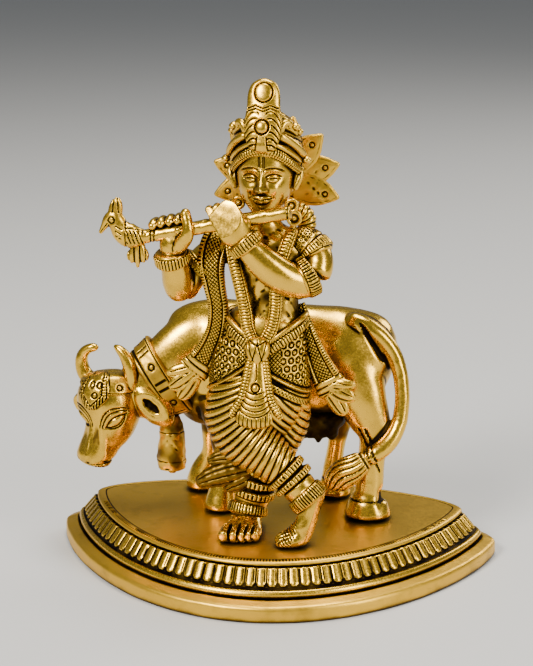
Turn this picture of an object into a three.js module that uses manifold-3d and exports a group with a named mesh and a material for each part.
// A cast brass statue: a flute player standing cross-legged before a cow, on a stepped lotus base.
// Millimetres, +Z up, -Y towards the front. The origin is at the centre of the base's underside.
import * as THREE from 'three';
import { mergeVertices } from 'three/addons/utils/BufferGeometryUtils.js';
import Module from 'manifold-3d';

const wasm = await Module();
wasm.setup();

// Driving dimensions.
const CLEARANCE = 0.3;
const PLATE_TOP = 15;
const FIGURE_Y = -7.5;
const COW_Y = 17;
const TIP_Y = 19.25;
const SLAB = { halfWidth: 70.5, front: 63.5, back: 25, thickness: 6 };
const PLATE = { halfWidth: 58.2, front: 52, back: 17, thickness: 2.5 };
const FRONT_SWELL = [1, 1.48];
const BACK_SWELL = [1.143, 1.143];
const HALO = { x: 1.7, y: 12, z: 107.2, radius: 19.5, root: 6, thickness: 2, petals: 8, step: 30 };
const FLUTE = { radius: 2, y: -11.2, right: [9.2, 102], left: [-35.5, 93.1] };
const SCREW = { radius: 2, head: 3.7, headHeight: 2, recess: 1, length: 17.2 };
const SCREW_SPOTS = {
  standing_foot: [-5.5, -9.5],
  near_front_hoof: [-16.3, 7.2],
  near_rear_hoof: [30, 7.4],
  far_rear_hoof: [17.7, 25],
};

const FINISHES = {
  polished: { color: 0xc9a24a, roughness: 0.28, metalness: 1 },
  antique: { color: 0xa9823a, roughness: 0.42, metalness: 1 },
  steel: { color: 0x8d8f92, roughness: 0.35, metalness: 1 },
};

// ---------------------------------------------------------------- shape helpers

function toSolid(geometry) {
  const bare = geometry.index ? geometry.clone() : geometry;
  bare.deleteAttribute('normal');
  bare.deleteAttribute('uv');
  const merged = mergeVertices(bare, 1e-4);
  const mesh = new wasm.Mesh({
    numProp: 3,
    vertProperties: new Float32Array(merged.attributes.position.array),
    triVerts: new Uint32Array(merged.index.array),
  });
  mesh.merge();
  return new wasm.Manifold(mesh);
}

function toGeometry(solid) {
  const mesh = solid.getMesh();
  const geometry = new THREE.BufferGeometry();
  geometry.setAttribute('position', new THREE.BufferAttribute(mesh.vertProperties, 3));
  geometry.setIndex(new THREE.BufferAttribute(mesh.triVerts, 1));
  return geometry;
}

function join(...solids) {
  return solids.reduce((whole, solid) => whole.add(solid));
}

// A form of oval sections: each station is [x, y, z, half width, half depth], and the width
// lies along the given side direction, square to the path. Every section grows by `grow`.
function loft(stations, { sides = 10, steps = 1, side = [1, 0, 0], grow = 0 } = {}) {
  const spans = stations.length - 1;
  const centres = stations.map(([x, y, z]) => new THREE.Vector3(x, y, z));
  const sizes = stations.map(([, , , width, depth]) => new THREE.Vector3(width, depth, 0));
  const path = new THREE.CatmullRomCurve3(centres, false, 'centripetal');
  const size = new THREE.CatmullRomCurve3(sizes, false, 'centripetal');
  const form = new THREE.CylinderGeometry(1, 1, 1, sides, spans * steps);
  const points = form.attributes.position;
  const across = new THREE.Vector3();
  const through = new THREE.Vector3();
  for (let i = 0; i < points.count; i++) {
    const along = 0.5 - points.getY(i);
    const middle = path.getPoint(along);
    const heading = path.getTangent(along);
    const radii = size.getPoint(along);
    across.set(...side).addScaledVector(heading, -heading.dot(across)).normalize();
    through.crossVectors(heading, across);
    const end = along === 0 ? -grow : along === 1 ? grow : 0;
    middle.addScaledVector(heading, end);
    middle.addScaledVector(across, points.getX(i) * (radii.x + grow));
    middle.addScaledVector(through, points.getZ(i) * (radii.y + grow));
    points.setXYZ(i, middle.x, middle.y, middle.z);
  }
  return toSolid(form);
}

function tube(stops, radius, { sides = 6, steps = 2, grow = 0 } = {}) {
  const path = new THREE.CatmullRomCurve3(stops.map((stop) => new THREE.Vector3(...stop)));
  const section = new THREE.Shape().absarc(0, 0, radius + grow, 0, Math.PI * 2);
  const segments = { steps: (stops.length - 1) * steps, curveSegments: sides / 2 };
  return toSolid(new THREE.ExtrudeGeometry(section, { extrudePath: path, ...segments }));
}

// The lens outline of the base: a superellipse whose front and back halves differ. Each half's
// swell gives the powers of the cosine and the sine.
function lens(angle, { halfWidth, front, back }) {
  const ahead = Math.sin(angle) < 0;
  const [wide, deep] = ahead ? FRONT_SWELL : BACK_SWELL;
  const reach = ahead ? front : back;
  const swell = (value, power) => Math.sign(value) * Math.abs(value) ** power;
  return [halfWidth * swell(Math.cos(angle), wide), TIP_Y + reach * swell(Math.sin(angle), deep)];
}

// A tier of the base: each level is [z, inset from the slab's edge], up to the plate's edge.
function tier(levels, sides = 44) {
  const form = new THREE.CylinderGeometry(1, 1, 1, sides, levels.length - 1);
  const points = form.attributes.position;
  const fullInset = SLAB.halfWidth - PLATE.halfWidth;
  for (let i = 0; i < points.count; i++) {
    const level = Math.round((0.5 - points.getY(i)) * (levels.length - 1));
    const [z, inset] = levels[levels.length - 1 - level];
    const share = inset / fullInset;
    const outline = {
      halfWidth: SLAB.halfWidth + (PLATE.halfWidth - SLAB.halfWidth) * share,
      front: SLAB.front + (PLATE.front - SLAB.front) * share,
      back: SLAB.back + (PLATE.back - SLAB.back) * share,
    };
    const radius = Math.hypot(points.getX(i), points.getZ(i));
    const [x, y] = lens(Math.atan2(-points.getZ(i), points.getX(i)), outline);
    points.setXYZ(i, x * radius, TIP_Y + (y - TIP_Y) * radius, z);
  }
  return toSolid(form);
}

function lathe(profile, [x, y, z], sides = 16) {
  const form = new THREE.LatheGeometry(profile.map((p) => new THREE.Vector2(...p)), sides);
  return toSolid(form.rotateX(Math.PI / 2).translate(x, y, z));
}

// Stations given from a datum on the plate's top, at depth `y`.
const onPlate = (depth, stations) =>
  stations.map(([x, y, z, ...radii]) => [x, y + depth, z + PLATE_TOP, ...radii]);
const ofFigure = (stations) => onPlate(FIGURE_Y, stations);
const ofCow = (stations) => onPlate(COW_Y, stations);

// ---------------------------------------------------------------- assembly

const statue = new THREE.Group();
const placed = [];

function meet(a, b) {
  return [0, 1, 2].every((k) => a.min[k] < b.max[k] && b.min[k] < a.max[k]);
}

// Adds a piece. `form(grow)` gives its solid, and the piece is cut back to a running gap
// from every piece that was put in before it.
function add(name, finish, form) {
  let solid = form(0);
  for (const earlier of placed) {
    if (meet(solid.boundingBox(), earlier.boundingBox())) {
      solid = solid.subtract(earlier);
    }
  }
  const bodies = solid.decompose().sort((a, b) => b.volume() - a.volume());
  const geometry = toGeometry(bodies[0]);
  geometry.computeBoundingBox();
  const centre = geometry.boundingBox.getCenter(new THREE.Vector3());
  geometry.translate(-centre.x, -centre.y, -centre.z);
  geometry.computeVertexNormals();
  const mesh = new THREE.Mesh(geometry, new THREE.MeshStandardMaterial(FINISHES[finish]));
  mesh.name = name;
  mesh.position.copy(centre);
  statue.add(mesh);
  placed.push(form(CLEARANCE));
}

function addLoft(name, finish, stations, options = {}) {
  add(name, finish, (grow) => loft(stations, { ...options, grow }));
}

// ---------------------------------------------------------------- fixing screws

// The head's cut reaches down through the slab's underside, so the recess is open below.
const shankProfile = (grow) => {
  const { radius, head, headHeight, recess, length } = SCREW;
  const floor = grow > 0 ? -recess : recess;
  return [
    [0, floor],
    [head + grow, floor],
    [head + grow, recess],
    [radius + grow, recess + headHeight],
    [radius + grow, recess + length + grow],
    [0, recess + length + grow],
  ];
};

for (const [spot, [x, y]] of Object.entries(SCREW_SPOTS)) {
  add(`fixing_screw_${spot}`, 'steel', (grow) => lathe(shankProfile(grow), [x, y, 0], 8));
}

// ---------------------------------------------------------------- base

const SLAB_TOP = SLAB.thickness;
const TIER_BOTTOM = SLAB_TOP + CLEARANCE;
const PLATE_BOTTOM = PLATE_TOP - PLATE.thickness;
const TIER_TOP = PLATE_BOTTOM - CLEARANCE;

add('base_slab', 'antique', (grow) =>
  tier([[-grow, 0.5 - grow], [0.6, -grow], [4, -grow], [5.2, 1.2], [SLAB_TOP + grow, 3.4]]));
add('lotus_tier', 'antique', (grow) =>
  tier([[TIER_BOTTOM - grow, 5], [7.4, 4], [8.4, 5], [8.9, 6], [TIER_TOP + grow, 10]]));
add('top_plate', 'antique', (grow) =>
  tier([
    [PLATE_BOTTOM - grow, 12], [13.6, 11], [14.4, 11], [PLATE_TOP - 0.2, 12],
    [PLATE_TOP + grow, 13],
  ]));

// ---------------------------------------------------------------- cow

const HEAD_SIDE = [0.79, -0.62, 0];
addLoft('cow_body', 'polished', ofCow([
  [37, 0, 50, 5, 4], [34, 0, 50, 12.5, 8], [27, 0, 48.8, 16.3, 10.4], [14, 0, 47.2, 18.5, 11.2],
  [1, 0, 46.8, 19.2, 11.4], [-12, 0, 46.4, 20.4, 10.8], [-21, 0, 45.6, 21, 9.8],
  [-27.5, -0.5, 44, 19.5, 8.4], [-32, -1, 43, 16.5, 6.6], [-35, -1.4, 42.5, 8.5, 3.6],
]), { sides: 16, side: [0, 0, 1] });
addLoft('cow_neck', 'polished', ofCow([
  [-17, 0, 51, 16, 8], [-25, -2, 48, 15, 7.8], [-33, -4, 43, 12.6, 7.2],
  [-40, -5.6, 38.5, 10.6, 7], [-47, -7.2, 35.5, 8.5, 6.4],
]), { side: [0, 0, 1] });
addLoft('cow_head', 'polished', ofCow([
  [-53.2, -6, 43, 6.4, 5], [-52.8, -6.6, 40.4, 9, 8.4], [-52.5, -7.6, 35.8, 10, 10.2],
  [-52, -8.6, 31, 9.8, 10.2], [-52.2, -10, 26.6, 8, 8.4], [-54.4, -11.6, 22.2, 5.9, 6.4],
  [-56.6, -13.2, 18, 5.6, 5.8], [-57.2, -13.8, 14.6, 4.2, 4.4],
]), { side: HEAD_SIDE });
addLoft('cow_headband', 'antique', ofCow([
  [-52.8, -6.5, 41, 9.6, 9], [-52.6, -7, 38.8, 10.7, 10.5], [-52.4, -7.8, 35.6, 11, 11],
]), { side: HEAD_SIDE, sides: 16 });
addLoft('cow_collar', 'antique', ofCow([
  [-33.4, -4.1, 43, 13.6, 8.4], [-36, -4.8, 41.4, 12.9, 8.4], [-38.6, -5.4, 39.8, 12, 8.2],
]), { side: [0, 0, 1], sides: 16 });
addLoft('cow_horn_left', 'polished', ofCow([
  [-58.8, -2.4, 39.6, 2.6, 2.4], [-61.8, -1.4, 40.6, 2.5, 2.3], [-63, -1, 43.8, 2.2, 2.1],
  [-62.4, -1.1, 47, 1.8, 1.8], [-60.2, -1.5, 48.8, 1.3, 1.3], [-57.3, -1.8, 49.1, 0.5, 0.5],
]), { side: [0, 1, 0], sides: 8 });
addLoft('cow_horn_right', 'polished', ofCow([
  [-44.6, -11, 40.6, 2.6, 2.4], [-44.3, -11.6, 44, 2.4, 2.3], [-45, -11.8, 47.6, 2, 2],
  [-46.6, -11.4, 50.6, 1.6, 1.6], [-48.2, -11, 52.1, 1.1, 1.1], [-49.8, -10.8, 52.6, 0.5, 0.5],
]), { side: [0, 1, 0], sides: 8 });
addLoft('cow_ear_left', 'polished', ofCow([
  [-61, -0.6, 35.6, 1.8, 1.4], [-63, 1, 33.4, 3, 1.6], [-64.6, 2.4, 30, 2.8, 1.4],
  [-65.2, 3, 27, 1, 0.8],
]), { side: [0.7, 0, 0.7], sides: 8 });
addLoft('cow_ear_right', 'polished', ofCow([
  [-43.4, -10.6, 39.4, 1.8, 1.6], [-39.8, -11.2, 36.6, 4.2, 2], [-36.4, -11.8, 33.4, 4.6, 2],
  [-33.4, -12, 30.8, 3, 1.5], [-32, -12, 29.4, 1.2, 0.9],
]), { side: [0.7, 0, 0.7], sides: 10 });

addLoft('cow_leg_front_near', 'polished', ofCow([
  [-18, -5, 36, 7, 5], [-15.8, -7.5, 25, 4.6, 4.4], [-15, -8.6, 15, 3.4, 3.5],
  [-15.8, -9.3, 8.6, 3.6, 3.8], [-16.2, -9.6, 6.6, 4.8, 4.8], [-16.4, -9.9, CLEARANCE, 5.4, 5.2],
]), { sides: 10 });
addLoft('cow_leg_front_far', 'polished', ofCow([
  [-20.5, 6, 34, 6, 4.6], [-22.4, 7, 22, 3.4, 3.5], [-23, 7.4, 13, 2.8, 3],
  [-24, 7.8, 9.6, 3.6, 3.6], [-25.6, 8, 7, 4.3, 4.2], [-25.9, 8, CLEARANCE, 4.6, 4.6],
]), { sides: 10 });
addLoft('cow_leg_rear_near', 'polished', ofCow([
  [26, -4, 54, 9, 5.5], [27, -7, 43, 9, 5.4], [29.5, -8.2, 34, 7.4, 4.8],
  [32.4, -8.5, 27.5, 4.8, 3.9], [31.2, -8.7, 19, 4.2, 3.8], [31.4, -9, 12, 4.4, 4],
  [30.8, -9.2, 8.4, 4.2, 4], [30.2, -9.5, 6.4, 5.6, 5], [30, -9.7, CLEARANCE, 6.9, 6.2],
]), { sides: 10 });
addLoft('cow_leg_rear_far', 'polished', ofCow([
  [23, 5, 40, 8, 5], [20, 7, 27, 4, 3.8], [18.5, 7.6, 17, 2.9, 3], [17.6, 8, 10.5, 3.2, 3.2],
  [17.8, 8, 6.6, 4.4, 4.4], [17.7, 8, CLEARANCE, 5.4, 5],
]), { sides: 10 });
addLoft('cow_udder', 'antique', ofCow([
  [4.6, -4.6, 31.6, 2.5, 3.5], [8, -5.6, 29.4, 4.4, 5], [12.6, -6, 28, 5.2, 5.2],
  [17.4, -5.8, 28.8, 4.6, 4.6], [21, -5, 31.4, 2.4, 3],
]), { side: [0, 0, 1], sides: 8 });
add('cow_tail', 'polished', (grow) => tube(ofCow([
  [27, -6.4, 62.4], [32.2, -6, 59.2], [36.7, -6.5, 53.6], [39.2, -7.5, 46.2], [39.9, -9, 38.6],
  [39, -11, 31.4], [36.4, -13.6, 26.2], [32.8, -15.5, 23.2], [30, -16.6, 21.4],
]), 2.8, { sides: 8, grow }));
addLoft('cow_tail_tuft', 'antique', ofCow([
  [29.9, -16.7, 21.4, 2.8, 2.8], [26.6, -17, 18.6, 4, 3.2], [23.2, -16.8, 15.8, 4.4, 3.2],
  [20.4, -16.4, 12.8, 3.2, 2.6], [19.2, -16.2, 11.4, 1.4, 1.3],
]), { side: [0.6, 0, -0.8], sides: 8 });
add('cow_bell', 'antique', (grow) => lathe([
  [0, 26 + grow], [1.6 + grow, 26 + grow], [1.8 + grow, 25], [3.8 + grow, 23.6], [4.4 + grow, 19],
  [4.8 + grow, 13.4], [4 + grow, 11.8 - grow], [1.4, 11.6 - grow], [1.2, 10.6 - grow],
  [0, 10.4 - grow],
].reverse(), [-32.8, COW_Y - 6.5, PLATE_TOP]));

// ---------------------------------------------------------------- figure: legs and feet

addLoft('standing_foot', 'polished', ofFigure([
  [-5.5, 5.4, 3, 3, 2.5], [-5.4, 3.6, 3.4, 4, 3], [-5.3, -1, 3.5, 4.6, 3.1],
  [-5.4, -6, 3, 5.8, 2.6], [-5.8, -10.5, 2.2, 6.6, 1.8], [-5.9, -12.8, 1.8, 5.8, 1.4],
]));
addLoft('crossing_foot', 'polished', ofFigure([
  [18.2, -9.6, 17.8, 1.6, 2.4], [16.6, -9.9, 14.6, 3.3, 3.3], [14.9, -10.5, 10, 2.7, 3.2],
  [13.2, -11, 6, 2.6, 3.4], [10.8, -11.8, 3.2, 2.3, 3.6], [8.2, -12.6, 2, 1.6, 3.4],
  [6.2, -13, 1.6, 1.2, 2.8],
]), { side: [0.7, 0, 0.7], sides: 10 });
addLoft('hips', 'antique', ofFigure([
  [1.2, 0.5, 67, 8.2, 6.4], [0.6, 0, 62, 11, 7.6], [-0.8, -0.5, 57, 14, 8.8],
  [-1.6, -0.8, 50, 15.4, 9.4], [-1.8, -0.8, 43, 14.6, 9.2], [-1.2, -0.6, 36, 11.5, 8],
  [-0.8, -0.4, 32, 8, 6],
]), { sides: 16 });
addLoft('crossing_leg', 'antique', ofFigure([
  [-5.5, -3, 47, 10.5, 7.5], [-7, -6.6, 39, 10.4, 8.4], [-4.6, -8, 32.6, 8.9, 7.4],
  [0.4, -8.3, 28, 7.2, 6.3], [5, -8.5, 24.2, 6.2, 5.6], [9.3, -9, 20.3, 5.8, 5.2],
  [13.6, -9.8, 15.8, 6, 5],
]), { side: [0.7, 0, 0.7] });
addLoft('crossing_anklet', 'antique', ofFigure([
  [13.4, -9.9, 16.2, 5.4, 4.8], [14.7, -10, 14.8, 5.6, 5], [16, -10.1, 13.4, 5.2, 4.8],
]), { side: [0.7, 0, 0.7] });
addLoft('standing_leg', 'antique', ofFigure([
  [5.5, 1.5, 42, 8.4, 7], [5.2, 2.4, 34, 7.6, 6.6], [1.6, 2.3, 25, 6.4, 6],
  [-2.4, 1.8, 17.5, 5.8, 5.6], [-3.8, 1.6, 11.6, 5.8, 5.6], [-4.8, 1.4, 7.4, 5, 4.8],
]));
addLoft('standing_anklet', 'antique', ofFigure([
  [-5.2, 1, 7.4, 5, 4.8], [-5.5, 0.2, 5.6, 5.6, 5.4], [-5.7, -0.6, 3.8, 5.4, 5.4],
]));
addLoft('cloth_tassel', 'antique', ofFigure([
  [-4, 0.5, 21.5, 4.4, 2.6], [-9.5, -0.6, 20.5, 5, 3], [-14.5, -1.8, 18.6, 4.4, 2.6],
  [-19.4, -2.6, 16.4, 1.8, 1.4],
]), { side: [0, 0, 1], sides: 8 });

// ---------------------------------------------------------------- figure: trunk and head

addLoft('torso', 'polished', ofFigure([
  [1, 0.6, 65, 8.3, 6.2], [1.4, 0.4, 71, 8.5, 6.4], [1, -0.2, 78, 9.8, 7],
  [0.6, -0.6, 84, 11.4, 7.6], [0.8, -0.2, 89, 13, 6.8], [0.8, 0.4, 92.4, 10, 5.2],
  [0, 0.4, 94.6, 5.2, 4.6], [-0.3, 0.2, 100, 4.2, 4.2],
]), { sides: 16 });
addLoft('head', 'polished', ofFigure([
  [0.2, -1.8, 99.8, 3.2, 3.6], [0.2, -1.4, 102.5, 6.2, 6.6], [0.3, -0.6, 107, 7.9, 8.2],
  [0.3, 0, 112, 8.4, 9], [0.3, 0.3, 118, 8, 8.8], [0.3, 0.4, 123, 6.4, 7],
  [0.3, 0.4, 126, 3, 3.4],
]));
addLoft('crown', 'antique', ofFigure([
  [0.6, 3.8, 106.5, 8.8, 5.8], [0.6, 1.8, 113, 10.6, 8.8], [0.6, 0.2, 119.4, 10.8, 10.2],
  [0.6, 0, 124, 9, 8.6], [0.6, 0, 128.5, 5.6, 5.2],
]), { sides: 16 });
addLoft('crown_plume', 'antique', ofFigure([
  [0.8, -10.6, 119.4, 3.6, 1.3], [0.9, -9.6, 125, 5.4, 1.8], [0.8, -7, 131.6, 4.9, 1.8],
  [0.6, -5.7, 135.4, 4.4, 1.7], [0.5, -5.2, 137.6, 2.8, 1.3], [0.5, -5, 138.4, 1, 0.8],
]), { sides: 10 });
addLoft('hair_bundle', 'antique', ofFigure([
  [9.4, 4, 104, 2, 2], [12.4, 3.4, 101, 2.9, 2.6], [13.6, 2.6, 97.6, 2.6, 2.4],
  [12.4, 2, 95, 1.2, 1.2],
]), { sides: 8 });
add('ear_ring', 'antique', (grow) => join(...[[8.2, 102.4, 1.7], [9, 98.6, 1.9]].map(
  ([x, z, size]) => toSolid(new THREE.TorusGeometry(size, 0.7 + grow, 6, 14)
    .translate(x, FIGURE_Y - 2.6, z + PLATE_TOP)))));

function haloForm(grow) {
  const { x, y, z, radius, root, thickness, petals, step } = HALO;
  const leaf = new THREE.Shape();
  leaf.moveTo(0, -root);
  leaf.quadraticCurveTo(radius * 0.34, radius * 0.7, 0, radius + grow);
  leaf.quadraticCurveTo(-radius * 0.34, radius * 0.7, 0, -root);
  const depth = thickness + grow * 2;
  const firstTurn = THREE.MathUtils.degToRad(-(90 + step / 2));
  const solids = Array.from({ length: petals }, (_, k) => {
    const turn = firstTurn + THREE.MathUtils.degToRad(k * step);
    const petal = new THREE.ExtrudeGeometry(leaf, { depth, bevelEnabled: false, curveSegments: 4 });
    return toSolid(petal.rotateZ(turn));
  });
  const disc = new THREE.CylinderGeometry(radius * 0.62, radius * 0.62, depth, 24)
    .rotateX(Math.PI / 2).translate(0, 0, depth / 2);
  const plate = toGeometry(join(toSolid(disc), ...solids));
  plate.rotateX(Math.PI / 2).translate(x, FIGURE_Y + y + depth / 2, z + PLATE_TOP);
  return toSolid(plate);
}
add('halo', 'antique', haloForm);

// ---------------------------------------------------------------- figure: flute, arms and hands

const [FLUTE_RIGHT_X, FLUTE_RIGHT_Z] = FLUTE.right;
const [FLUTE_LEFT_X, FLUTE_LEFT_Z] = FLUTE.left;
add('flute', 'polished', (grow) => tube(ofFigure([
  [FLUTE_LEFT_X - grow, FLUTE.y, FLUTE_LEFT_Z],
  [(FLUTE_LEFT_X + FLUTE_RIGHT_X) / 2, FLUTE.y, (FLUTE_LEFT_Z + FLUTE_RIGHT_Z) / 2],
  [FLUTE_RIGHT_X + grow, FLUTE.y, FLUTE_RIGHT_Z],
]), FLUTE.radius, { sides: 12, grow }));
addLoft('flute_bird', 'antique', ofFigure([
  [-33.6, -11.2, 93.6, 2, 2], [-37, -11.2, 93.2, 3.7, 3], [-40.4, -11.2, 95, 3.6, 2.8],
  [-42, -11.2, 98.4, 2.9, 2.3], [-43.6, -11.2, 100, 2.2, 1.9], [-45.8, -11.2, 97, 1.2, 1.2],
  [-47.2, -11.2, 93.8, 0.5, 0.5],
]), { side: [0, 0, 1], sides: 10 });
addLoft('flute_leaf_drop', 'antique', ofFigure([
  [-35.8, -11.2, 91.6, 1.8, 1.5], [-35.7, -11.2, 88.4, 3.2, 1.9], [-36, -11.2, 86, 3, 1.5],
  [-36.4, -11.2, 84.4, 1.4, 0.9],
]), { sides: 8 });
addLoft('right_hand', 'polished', ofFigure([
  [-26.2, -10.2, 89, 3.3, 3.1], [-25.2, -10.9, 93, 3.5, 3.6], [-24, -11.2, 97, 3.2, 3.8],
  [-23.4, -11.2, 100.2, 2.4, 2.6],
]), { sides: 10 });
addLoft('left_hand', 'polished', ofFigure([
  [-5.2, -12.4, 93.6, 3.8, 2.8], [-8, -14, 96.4, 4.7, 2.8], [-10.6, -14.6, 99.2, 4.6, 2.4],
  [-12.8, -14.2, 101, 3.4, 1.8],
]), { side: [0.7, 0, 0.7], sides: 10 });
addLoft('right_forearm', 'polished', ofFigure([
  [-25, -2, 74.2, 3.4, 3.4], [-25.2, -4.6, 78, 4.5, 4.5], [-25.4, -7.6, 83, 4.3, 4.3],
  [-26, -9.8, 87.6, 3.6, 3.5], [-26.2, -10.2, 89.4, 3.2, 3.1],
]));
addLoft('right_bangle', 'antique', ofFigure([
  [-25.7, -9, 85.6, 4.6, 4.5], [-26, -9.7, 87.2, 4.8, 4.7], [-26.2, -10.2, 88.8, 4.5, 4.4],
]));
addLoft('right_upper_arm', 'polished', ofFigure([
  [-9.5, 1, 90, 4.4, 4.6], [-16, 0.2, 86.5, 4.6, 4.6], [-21.5, -0.8, 80.5, 4.3, 4.4],
  [-24.8, -2, 75.4, 4.1, 4.2],
]), { side: [0.7, 0, 0.7] });
addLoft('right_armlet', 'antique', ofFigure([
  [-18.4, -0.2, 84, 5.3, 5.3], [-19.6, -0.4, 82.8, 5.5, 5.5], [-20.8, -0.7, 81.4, 5.2, 5.3],
]), { side: [0.7, 0, 0.7] });
addLoft('left_forearm', 'polished', ofFigure([
  [-4.6, -11.8, 93.4, 3.5, 3], [-1.6, -11.8, 89.6, 4, 3.6], [2.4, -11, 85.6, 4.8, 4.2],
  [7, -9.6, 82.2, 5, 4.6], [11.4, -7.2, 80.6, 4.9, 4.6], [14.2, -5, 80.8, 3.8, 4],
]), { side: [0.6, 0, 0.8] });
addLoft('left_bangle', 'antique', ofFigure([
  [-4.9, -12, 93.6, 4.5, 4.1], [-3.8, -12, 92.2, 4.9, 4.5], [-2.7, -12, 90.9, 4.8, 4.5],
]), { side: [0.6, 0, 0.8] });
addLoft('left_upper_arm', 'polished', ofFigure([
  [9.5, 0.6, 91, 4.6, 4.8], [14.2, -0.2, 89, 4.8, 4.8], [16.4, -1.8, 85.6, 4.2, 4.4],
  [15.2, -4.4, 81.6, 4.2, 4.4],
]), { side: [0.7, 0, 0.7] });
addLoft('left_armlet', 'antique', ofFigure([
  [11.9, -7.2, 81.2, 5.2, 5], [13.4, -6.4, 81.9, 5.6, 5.3], [14.9, -5.6, 82.7, 5.2, 5],
]), { side: [0, 0, 1] });
addLoft('left_sleeve', 'antique', ofFigure([
  [9.5, 0.7, 91.4, 5, 5.6], [12.6, 0.2, 90.4, 5.6, 5.8], [15.2, -0.6, 88, 5.6, 5.7],
  [16, -1.2, 86.8, 5.3, 5.5],
]), { side: [0.7, 0, 0.7] });

// ---------------------------------------------------------------- figure: dress

add('garland', 'antique', (grow) => join(
  tube(ofFigure([
    [-8.8, -5.6, 90.6], [-7.2, -8.2, 84], [-5.6, -8.4, 77.4], [-4.4, -7.4, 71.4],
    [-3.6, -7.6, 66], [-1.2, -9.4, 61.4],
  ]), 1.7, { grow }),
  tube(ofFigure([
    [8.2, -4.6, 93.4], [6.6, -7.4, 89], [5, -8.8, 83.6], [4.4, -8.2, 77.6], [4.2, -7.4, 71.6],
    [3.2, -7.8, 66.2], [0.6, -9.4, 61.4],
  ]), 1.7, { grow }),
  loft(ofFigure([
    [-0.4, -9.4, 63.6, 2.2, 1.6], [-0.4, -10, 61.4, 3.4, 2], [-0.4, -10.6, 58.8, 3, 1.7],
    [-0.4, -11, 56.8, 1.2, 1],
  ]), { sides: 10, grow }),
));
addLoft('belt', 'antique', ofFigure([
  [1, 0.2, 66, 9.6, 7.6], [0.6, -0.2, 62.6, 11.9, 8.7], [0.2, -0.4, 60.6, 12.9, 9],
]), { sides: 20 });
add('apron', 'antique', (grow) => join(
  loft(ofFigure([
    [-0.4, -10.8, 58, 2, 1.2], [-0.5, -13, 51, 3, 1.4], [-0.6, -15.2, 44, 3.8, 1.5],
    [-0.6, -16.4, 38, 4.8, 1.5],
  ]), { sides: 10, grow }),
  ...[-1, 1].map((hand) => tube(ofFigure([
    [-0.5 + hand * 2, -10.8, 57.6], [-0.5 + hand * 3, -13, 51], [-0.5 + hand * 4.2, -15, 44.6],
    [-0.5 + hand * 6, -15.4, 40.6],
  ]), 1.1, { sides: 6, grow })),
));
addLoft('shoulder_sash', 'antique', ofFigure([
  [-9, 3, 95.4, 4.2, 1.9], [-13, -0.4, 92.6, 4.4, 1.9], [-15.3, -4, 85, 4.2, 1.7],
  [-14, -4.2, 77.6, 3, 1.6], [-13.3, -3.4, 71.4, 2.8, 1.6], [-14.2, -1.6, 64.6, 2.7, 1.6],
  [-17, 0, 57.2, 3.2, 1.5], [-20.6, 1.2, 51.2, 4.4, 1.6], [-24.6, 2, 47, 5.6, 1.5],
  [-28, 2.2, 44.4, 5, 1.1],
]), { side: [0.8, 0, -0.3], sides: 10 });
addLoft('hip_sash', 'antique', ofFigure([
  [10.6, 1.5, 71, 1.2, 1.2], [12, 1.5, 65.5, 1.7, 1.3], [13.8, 1.9, 59.5, 2.5, 1.4],
  [16.4, 2.5, 52.5, 3.6, 1.5], [19.8, 3, 46, 4.8, 1.6], [23, 3.2, 41.8, 5.6, 1.5],
  [25.4, 3.4, 38.8, 4.8, 1.1],
]), { side: [0.8, 0, 0.4], sides: 10 });

export default statue;
